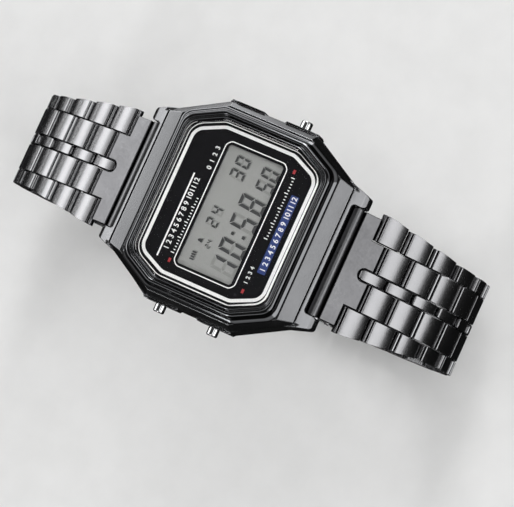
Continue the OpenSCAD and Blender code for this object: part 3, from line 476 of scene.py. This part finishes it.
def ink(name, colour):
    """Screen-printed ink, a little uneven in thickness."""
    finish, nodes, links, shader = new_finish(name, colour, 0, 0.45)
    uneven = between(nodes, links, grain(nodes, links, 0.25), 0, 1)
    links.new(toned(nodes, links, uneven, [c * 0.88 for c in colour], colour), shader.inputs["Base Color"])
    links.new(between(nodes, links, uneven, 0.38, 0.55, 0, 1), shader.inputs["Roughness"])
    bumped(nodes, links, shader, grain(nodes, links, 0.1), 0.004, 0.4)
    return finish


lacquer, nodes, links, shader = new_finish("black_lacquer", (0.006, 0.006, 0.007), 0, 0.3)
shader.inputs["Specular IOR Level"].default_value = 0.05
links.new(between(nodes, links, grain(nodes, links, 2.0), 0.30, 0.34), shader.inputs["Roughness"])
bumped(nodes, links, shader, grain(nodes, links, 4.0), 0.0005, 0.05)
dress(["dial_plate"], lacquer)
white_ink = ink("white_ink", (0.93, 0.93, 0.92))
red_ink = ink("red_ink", (0.36, 0.02, 0.025))
blue_ink = ink("blue_ink", (0.012, 0.035, 0.17))
dial_z, ink_depth = 6.402, 0.018
ink_z = dial_z + ink_depth
# The heavy band, the fine line outside it, the line round the display and the one above it
lines = [
    band(12.02, 10.32, 2.05, 4.5, 2.1, 0.52),
    band(12.72, 11.0, 2.2, 4.75, 2.7, 0.13),
    band(10.35, 5.2, 0.7, 0.7, 0.9, 0.15, -0.42),
    bar(-10.1, 7.38, 3.7, 7.62),
]
lines += ticks(-8.8, 5.2, 19, 0.3, 0.55) + ticks(-1.3, -7.3, 21, 0.3, 0.6)
red_marks = [bar(-10.3, 5.2, -9.65, 5.6), bar(-10.2, -7.3, -9.55, -6.9), bar(9.4, -7.0, 10.05, -6.6)]
blue_field = rounded([(6.4, -7.9), (-6.4, -7.9), (-6.4, -9.2), (6.4, -9.2)], 0.12, 3)
flat_shapes("dial_lines", lines, dial_z, ink_z, "dial", white_ink)
flat_shapes("dial_red_marks", red_marks, dial_z, ink_z, "dial", red_ink)
flat_shapes("dial_blue_field", [blue_field], dial_z, ink_z, "dial", blue_ink)


def number_row(counted, first_x, step, foot_y, height, wider=0.0):
    """Numbers side by side as (text, middle x, foot y, height), wider apart from the tenth on."""
    return [(str(n), first_x + step * i + wider * max(0, i - 8), foot_y, height)
            for i, n in enumerate(counted)]


def numbers(name, rows, low, high, finish):
    """Plain printed numbers, in a stroke a little bolder than the plain type."""
    size_for_height, bolder = 1.37, 0.022
    made = bmesh.new()
    for text, x, y, height in rows:
        curve = bpy.data.curves.new("number", "FONT")
        curve.body, curve.align_x = text, "CENTER"
        curve.size, curve.offset = height * size_for_height, bolder
        typed = bpy.data.objects.new("number", curve)
        bpy.context.scene.collection.objects.link(typed)
        flat = bpy.data.meshes.new_from_object(typed.evaluated_get(bpy.context.evaluated_depsgraph_get()))
        flat.transform(Matrix.Translation((x * mm, y * mm, high * mm)) @ Matrix.Scale(mm, 4))
        made.from_mesh(flat)
        bpy.data.objects.remove(typed)
    shown = shape_from(made, name, finish)
    shown.modifiers.new("ink_depth", "SOLIDIFY").thickness = (high - low) * mm
    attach(shown, "case")


dial_rows = number_row(range(1, 13), -8.4, 0.92, 6.3, 0.85, 0.3)
dial_rows += number_row(range(4), 5.3, 1.1, 5.4, 0.75)
dial_rows += number_row(range(1, 5), -8.5, 0.8, -7.3, 0.65)
field_row = number_row(range(1, 13), -5.75, 0.95, -8.98, 0.86, 0.32)
numbers("dial_numbers", dial_rows, dial_z, ink_z, white_ink)
numbers("field_numbers", field_row, ink_z, ink_z + ink_depth, white_ink)


# Display. Two sheets of glass with liquid crystal between them over a grey reflector, seated in the
# module's frame. The dark segments float a little above the reflector and drop a soft shadow, and
# the unused ones show faintly.
lit_letters = {"0": "abcdef", "1": "bc", "2": "abged", "3": "abgcd", "4": "fgbc", "5": "afgcd",
               "6": "afgedc", "7": "abc", "8": "abcdefg", "9": "abcdfg"}


def segment_bars(letters, x, y, width, height, thick, lean=0.10):
    """Outlines of the lettered bars of a seven-segment digit, from its lower left corner."""
    gap, middle = thick * 0.13, height / 2
    outer_end, inner_end = gap + thick * 0.15, thick + gap * 0.4
    tip, bend, half_thick = thick * 0.55, thick * 1.05, thick * 0.46
    far_cut, middle_cut = (thick * 0.2, thick + gap), (thick * 0.1, thick * 0.6)

    def level(outer_y, inner_y):
        """A bar across the top or the foot."""
        return [(outer_end, outer_y), (width - outer_end, outer_y), (width - inner_end, inner_y),
                (inner_end, inner_y)]

    def upright(outer_x, inner_x, low, high, low_cut, high_cut):
        """A bar up one side. A cut is what its outer and inner edges lose at that end."""
        return [(outer_x, low + low_cut[0]), (inner_x, low + low_cut[1]),
                (inner_x, high - high_cut[1]), (outer_x, high - high_cut[0])]

    shapes = {
        "a": level(height, height - thick),
        "d": level(0, thick),
        "g": [(tip, middle), (bend, middle + half_thick), (width - bend, middle + half_thick),
              (width - tip, middle), (width - bend, middle - half_thick), (bend, middle - half_thick)],
        "f": upright(0, thick, middle, height, middle_cut, far_cut),
        "e": upright(0, thick, 0, middle, far_cut, middle_cut),
        "b": upright(width, width - thick, middle, height, middle_cut, far_cut),
        "c": upright(width, width - thick, 0, middle, far_cut, middle_cut),
    }
    return [[(x + px + lean * py, y + py) for px, py in shapes[s]] for s in letters]


# Sizes of digits as (width, height, thickness of a bar), and each digit as (digit, left x, foot y, size)
hour_size, second_size = (2.05, 4.3, 0.52), (1.55, 2.95, 0.40)
month_size, day_size, sign_size = (1.15, 2.0, 0.30), (1.45, 2.4, 0.36), (0.5, 0.8, 0.13)
time_y, month_y, day_y, sign_y = -4.95, 0.8, 0.1, 0.55
digits = [("1", -8.85, time_y, *hour_size), ("0", -5.85, time_y, *hour_size),
          ("5", -1.7, time_y, *hour_size), ("8", 1.4, time_y, *hour_size),
          ("5", 4.95, time_y, *second_size), ("0", 6.95, time_y, *second_size),
          ("2", -2.85, month_y, *month_size), ("4", -0.95, month_y, *month_size),
          ("3", 5.1, day_y, *day_size), ("0", 7.2, day_y, *day_size)]
small_digits = [("2", -6.1, sign_y, *sign_size), ("4", -5.35, sign_y, *sign_size)]
lit_bars = [s for digit, *place in digits + small_digits for s in segment_bars(lit_letters[digit], *place)]
# A pair of dots between the hours and the minutes, and small signs: four short bars and a bell
dot, dots_x, dots_y = ((0, 0), (0.5, 0), (0.55, 0.5), (0.05, 0.5)), -2.75, (-2.1, -3.95)
bell = [(-5.75, 2.0), (-4.95, 2.0), (-5.1, 2.25), (-5.15, 2.6), (-5.35, 2.8), (-5.55, 2.6), (-5.6, 2.25)]
lit_bars += [[(dots_x + dx, y + dy) for dx, dy in dot] for y in dots_y]
lit_bars += [bar(-8.6 + 0.38 * i, 2.05, -8.35 + 0.38 * i, 2.75) for i in range(4)] + [bell]
unlit_bars = [s for digit, *place in digits
              for s in segment_bars([s for s in "abcdefg" if s not in lit_letters[digit]], *place)]
reflector, nodes, links, shader = new_finish("grey_reflector", (0.27, 0.275, 0.265), 0, 0.4)
pearl = grain(nodes, links, 0.12)
dim, bright = (0.25, 0.255, 0.245), (0.29, 0.295, 0.285)
links.new(toned(nodes, links, between(nodes, links, pearl, 0, 1), dim, bright), shader.inputs["Base Color"])
links.new(between(nodes, links, pearl, 0.32, 0.5), shader.inputs["Roughness"])
bumped(nodes, links, shader, pearl, 0.006, 0.3)
dress(["display_glass"], reflector)


def film(name, colour):
    """A thin film on the display glass, with the reflector's grain showing through it."""
    finish, nodes, links, shader = new_finish(name, colour, 0, 0.35)
    pearl = between(nodes, links, grain(nodes, links, 0.12), 0, 1)
    links.new(toned(nodes, links, pearl, [c * 0.85 for c in colour], colour), shader.inputs["Base Color"])
    links.new(between(nodes, links, pearl, 0.3, 0.45, 0, 1), shader.inputs["Roughness"])
    return finish


unlit_z, shadow_z, lit_z, shadow_shift = (6.051, 6.054), (6.055, 6.058), (6.059, 6.070), 0.16
shadow_bars = [[(px + shadow_shift, py - shadow_shift) for px, py in shape] for shape in lit_bars]
flat_shapes("display_unlit", unlit_bars, *unlit_z, "lcd", film("unlit_film", (0.235, 0.24, 0.23)))
flat_shapes("display_shadow", shadow_bars, *shadow_z, "lcd", film("shadow_film", (0.18, 0.185, 0.178)))
flat_shapes("display_digits", lit_bars, *lit_z, "lcd", film("lit_film", (0.042, 0.043, 0.045)))


# Module. The parts inside the case: a moulded plastic frame with the circuit board, light guide and
# rubber contact strips in it, a steel coin cell under its strap, a brass buzzer disc, and a spring
# leaf for each button. The case back holds them in, and a rubber gasket seals it to the case.
def moulded(name, colour, rough, grain_size, depth=0.01):
    """Moulded plastic or rubber with a fine spark-eroded skin."""
    finish, nodes, links, shader = new_finish(name, colour, 0, rough)
    skin = grain(nodes, links, grain_size)
    patch = between(nodes, links, grain(nodes, links, 3.0), 0, 1)
    dark, light = [c * 0.8 for c in colour], [min(1, c * 1.1) for c in colour]
    links.new(toned(nodes, links, patch, dark, light), shader.inputs["Base Color"])
    links.new(between(nodes, links, skin, rough * 0.8, rough * 1.2), shader.inputs["Roughness"])
    bumped(nodes, links, shader, skin, depth, 0.5)
    return finish


dress(["module_frame"], moulded("frame_plastic", (0.03, 0.03, 0.033), 0.5, 0.2))
dress(["circuit_board"], moulded("board_mask", (0.02, 0.10, 0.04), 0.4, 0.3))
dress(["light_guide"], moulded("guide_plastic", (0.62, 0.66, 0.58), 0.2, 0.5, 0.003))
dress(["zebra_strips"], moulded("strip_rubber", (0.45, 0.45, 0.46), 0.6, 0.15))
dress(["gasket", "button_seals"], moulded("seal_rubber", (0.012, 0.012, 0.013), 0.45, 0.15))
spring_steel = plated("spring_steel", (0.55, 0.55, 0.56), 0.28, 0.15, rub_and_glint=0.3)
dress(["battery", "battery_strap", "contact_leaves"], spring_steel)
dress(["buzzer_disc"], plated("brass", (0.60, 0.42, 0.17), 0.3, 0.15, rub_and_glint=0.3))


# Case back and its screws. A stamped steel plate, ground in one direction and left bare of
# marks, held at its corners by four nickelled screws with crossed slots.
back_steel = plated("back_steel", (0.52, 0.525, 0.535), 0.28, 0.07, (18, 1, 1), rub_and_glint=0.35, depth=0.006)
dress(["case_back"], back_steel)
soften(solids["case_back"], 0.08)
dress(["case_back_screws"], plated("screw_nickel", (0.42, 0.42, 0.43), 0.22, 0.1))
soften(solids["case_back_screws"], 0.05)


# Buttons. Turned steel plungers, polished all over, whose stems pass through rubber seals in the
# case. A spring clip on the inner end keeps each in its bore.
polished = plated("polished_steel", (0.62, 0.62, 0.63), 0.14, 0.1, rub_and_glint=0.3, depth=0.002)
for name in ("button_light", "button_mode", "button_start"):
    dress([name], polished)
    soften(solids[name], 0.05)


# Spring bars. Thin steel tubes with a sprung pin at each end. The pins snap into holes in the
# lugs, and the end links turn on the tubes.
dress(["spring_bar_12", "spring_bar_6"], plated("bar_steel", (0.45, 0.45, 0.46), 0.25, 0.1, (12, 1, 1)))


# End links. Folded steel plates with a tube round the spring bar and two tails for the first row,
# blasted to a fine satin on top. Between the tails the notch is round, as the bar in it is.
plate_satin = plated("plate_satin", (0.135, 0.135, 0.14), 0.32, 0.30, rub_and_glint=0.5)
pitch, knuckle_r, sole = 5.05, 0.75, 1.1
mid_x, gap, inner_x = 0.8, 0.23, 5.28
past_pin, far_end = 0.98, 3.77
places = {j["name"]: Vector(j["pos_m"]) for j in frame["record"]["behaviour"]["joints"] if "pos_m" in j}


def pin_at(side, i):
    """Place of a strand's hinge pin in metres. Pin 0 is the spring bar."""
    return places["bracelet_open" if (side, i) == ("12", 0) else f"hinge_{side}_{i:02d}"]


def strand_way(side, i):
    """Where a piece of a strand lies: its own +Y (12 side) or -Y (6 side) runs to the next pin."""
    step = pin_at(side, i + 1) - pin_at(side, i)
    along = 1 if side == "12" else -1
    slope = math.atan2(step.z, step.y * along) * along
    return Matrix.Translation(pin_at(side, i)) @ Matrix.Rotation(slope, 4, "X")


def prism(made, profile, near_x, far_x, along):
    """Adds a block with that side outline, its points given as (way along the strand, height).

    Each of its two sides is one x, or where it slants a pair: x at the hinge and x one pitch on.
    """
    sides = []
    for side in (near_x, far_x):
        at_hinge, at_next = side if isinstance(side, tuple) else (side, side)
        ring = []
        for s, w in profile:
            x = at_hinge + (at_next - at_hinge) * min(1, max(0, s / pitch))
            ring.append(made.verts.new((x * mm, s * along * mm, w * mm)))
        sides.append(ring)
    count = len(profile)
    for i in range(count):
        j = (i + 1) % count
        made.faces.new((sides[0][i], sides[0][j], sides[1][j], sides[1][i]))
    made.faces.new(sides[0][::-1])
    made.faces.new(sides[1])


def slab(made, outline, low, high, along):
    """Adds a plate with that outline from above, between two heights."""
    rings = [[made.verts.new((x * mm, s * along * mm, w * mm)) for x, s in outline] for w in (low, high)]
    for i in range(len(outline)):
        made.faces.new((rings[0][i - 1], rings[0][i], rings[1][i], rings[1][i - 1]))
    made.faces.new(rings[0][::-1])
    made.faces.new(rings[1])


def arc(cx, cy, radius, start, end, steps):
    """Points along an arc, with angles in degrees."""
    turns = [math.radians(start + (end - start) * k / steps) for k in range(steps + 1)]
    return [(cx + radius * math.cos(a), cy + radius * math.sin(a)) for a in turns]


def rod(way, radius, corners):
    """Round outline of a rod or knuckle that lies across the strand, so far along it."""
    return arc(way, 0, radius, 0, 360 - 360 / corners, corners - 1)


def strand_piece(made, name, side, i, finish, broken=0.0, steps=2):
    """Turns the shapes into a piece of link i of a strand, its edges broken by that width."""
    bmesh.ops.recalc_face_normals(made, faces=list(made.faces))
    shown = shape_from(made, name, finish)
    shown.matrix_world = strand_way(side, i)
    smooth_by(shown, 35)
    if broken:
        edge = shown.modifiers.new("broken_edges", "BEVEL")
        edge.width, edge.segments = broken * mm, steps
        edge.limit_method, edge.angle_limit = "ANGLE", math.radians(40)
        edge.harden_normals = True
    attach(shown, f"link_{side}_{i:02d}" if i else f"end_link_{side}")
    return shown


end_x, tube_r, tube_in, tube_seam = 8.8, 1.0, 0.80, 8
plate_near, plate_top = 1.0, 1.05
notch = mid_x + gap
for side, along in (("12", 1), ("6", -1)):
    end_length = (pin_at(side, 1) - pin_at(side, 0)).length / mm
    plate_far, tail_far = end_length + far_end - pitch, end_length + past_pin
    outline = [(-end_x, plate_near), (end_x, plate_near), (end_x, plate_far), (inner_x, plate_far),
               (inner_x, tail_far), (notch, tail_far)]
    outline += arc(0, plate_far + notch, notch, 0, -180, 12)
    outline += [(-notch, tail_far), (-inner_x, tail_far), (-inner_x, plate_far), (-end_x, plate_far)]
    made = bmesh.new()
    slab(made, outline, 0.0, plate_top, along)
    skirt_end, tail_start, tail_end = plate_far - 0.1, plate_far - 0.2, end_length - 0.25
    skirt = [(0.7, -0.8), (plate_near, -sole), (skirt_end, -sole), (skirt_end, 0.0), (0.7, 0.0)]
    tail = [(tail_start, -sole), (tail_end, -sole), (tail_end, 0.1), (tail_start, 0.1)]
    prism(made, skirt, -end_x, end_x, along)
    for flip in (1, -1):
        prism(made, tail, flip * notch, flip * inner_x, along)
        prism(made, rod(end_length, knuckle_r, 24), flip * notch, flip * inner_x, along)
    plate = strand_piece(made, f"end_link_{side}_plate", side, 0, plate_satin, 0.12)
    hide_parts(f"end_link_{side}")
    made = bmesh.new()
    outer, inner = [arc(0, 0, r, tube_seam, 360 - tube_seam, 42) for r in (tube_r, tube_in)]
    prism(made, outer + inner[::-1], -end_x, end_x, along)
    strand_piece(made, f"end_link_{side}_tube", side, 0, plate_satin, 0.03, 1)


# Link rows. Each row is five crowned columns of folded steel strip, most with a seam and the
# strip's lip at the near end. The middle and outer columns turn on the pin nearer the case, the
# inner two hold the next pin. The middle one is a plain narrow bar with round ends.
satin = plated("satin_steel", (0.24, 0.24, 0.247), 0.22, 0.17, rub_and_glint=0.3, depth=0.014)
crown, crown_r, pin_r, near_end = 1.15, 8.0, 0.40, 1.28
lip, seam, seam_depth, lip_drop = 0.42, 0.17, 0.45, 0.09
# The lip's top from the seam to the row's end, as (distance from that end, drop)
lip_top = [(lip, 0.06), (lip - 0.06, 0), (0.18, 0), (0.05, 0.12), (0, 0.30)]
# Underside of a strip from its hinge to its far end
underside = [(0.24, -0.80), (0.3, -1.0), (0.42, -sole), (3.9, -sole), (4.0, -1.0), (4.0, -0.6)]


def crowned(s0, s1, nose=0.26, fall=0.26, folded=True):
    """Top of a column from its far end back to its near one, with rounded noses.

    A nose is nose long and falls by fall. A folded column has a thin seam across its near end,
    and the strip's lip beyond it.
    """
    def top(s):
        return crown - crown_r + math.sqrt(crown_r ** 2 - (s - (s0 + s1) / 2) ** 2)

    near = s0 + (lip + seam if folded else 0)
    mid, half = (near + s1) / 2, (s1 - near) / 2
    steps, crowding, seam_nose = 12, 1.5, 0.14
    line = []
    for k in range(steps, -steps - 1, -1):
        s = half * math.copysign(1 - (1 - abs(k) / steps) ** crowding, k)
        length, down = (seam_nose, seam_nose) if folded and k < 0 else (nose, fall)
        share = min(1.0, max(0.0, (abs(s) - (half - length)) / length))
        line.append((mid + s, top(mid + s) - down * (1 - math.sqrt(1 - share ** 2))))
    if folded:
        line += [(near, top(near) - seam_depth), (near - seam, top(near) - seam_depth)]
        line += [(s0 + s, top(s0 + s) - lip_drop - down) for s, down in lip_top]
    return line


def outer_profile():
    """Side outline of the outer columns, which turn on this row's pin."""
    knuckle = arc(0, 0, knuckle_r, 180, 285, 9)
    return crowned(-past_pin, far_end) + [(-past_pin, 0.0)] + knuckle + underside + [(far_end, -0.5)]


def inner_profile():
    """Side outline of the inner columns, which hold the next row's pin."""
    knuckle = arc(pitch, 0, knuckle_r, 255, 360, 9)
    foot = [(near_end, -0.3), (1.05, -0.4), (1.05, -1.0), (1.15, -sole), (4.75, -sole), (4.84, -1.0)]
    return knuckle + [(pitch + past_pin, 0.0)] + crowned(near_end, pitch + past_pin) + foot


def middle_profile():
    """Side outline of the middle column under its bar, which turns on this row's pin."""
    return [(far_end, -0.5), (far_end, 0.3), (0.3, 0.3)] + arc(0, 0, knuckle_r, 60, 285, 15) + underside


def round_bar(made, near_round, far_round, along):
    """The middle column's top: a narrow crowned bar whose ends are round from above."""
    rings, chamfer, least = [], 0.09, 0.01
    for s, w in crowned(-past_pin, far_end, nose=0.3, fall=0.2, folded=False):
        reach = min((s + past_pin) / near_round, (far_end - s) / far_round, 1)
        radius = near_round if s < 1 else far_round
        half = mid_x - radius + radius * math.sqrt(max(least, 1 - (1 - reach) ** 2))
        top_half = half - chamfer * min(1, half)
        cut = [(-half, 0.0), (-half, w - chamfer), (-top_half, w),
               (top_half, w), (half, w - chamfer), (half, 0.0)]
        rings.append([made.verts.new((x * mm, s * along * mm, z * mm)) for x, z in cut])
    for low, high in zip(rings, rings[1:]):
        for i in range(len(low)):
            made.faces.new((low[i - 1], low[i], high[i], high[i - 1]))
    made.faces.new(rings[0])
    made.faces.new(rings[-1][::-1])


bracelet_w, taper, clasp_w, pin_end = 19.5, 1.25, 15.4, 0.02
bar_round, first_bar_round = 0.35, mid_x
for r in range(1, 12):
    half_w, half_w_next = [max(clasp_w, bracelet_w - taper * (r - 1 + k)) / 2 for k in (0, 1)]
    for side, along in (("12", 1), ("6", -1)):
        name = f"link_{side}_{r:02d}"
        made = bmesh.new()
        for flip in (1, -1):
            outer_side, pin_tip = (flip * half_w, flip * half_w_next), flip * (half_w_next - pin_end)
            prism(made, outer_profile(), flip * (inner_x + gap), outer_side, along)
            prism(made, inner_profile(), flip * (mid_x + gap), flip * inner_x, along)
            prism(made, rod(pitch, pin_r, 12), pin_tip - flip, pin_tip, along)
        prism(made, middle_profile(), -mid_x, mid_x, along)
        row = strand_piece(made, name + "_row", side, r, satin, 0.06)
        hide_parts(name)
        made = bmesh.new()
        round_bar(made, first_bar_round if r == 1 else bar_round, bar_round, along)
        strand_piece(made, name + "_bar", side, r, satin)


# Clasp. Folded and stamped steel: the catch, the base with its pins, the lock plate and the
# cover, whose outside is brushed along the bracelet.
clasp_steel = plated("clasp_steel", (0.46, 0.46, 0.47), 0.26, 0.06, (1, 14, 14), rub_and_glint=0.5, depth=0.008)
folded_parts = ["clasp_catch", "clasp_base", "clasp_cover", "clasp_lock_plate"]
dress(folded_parts, clasp_steel)
dress(["clasp_pins"], plated("pin_steel", (0.45, 0.45, 0.46), 0.2, 0.1, (12, 1, 1)))
for name in folded_parts:
    soften(solids[name], 0.08)
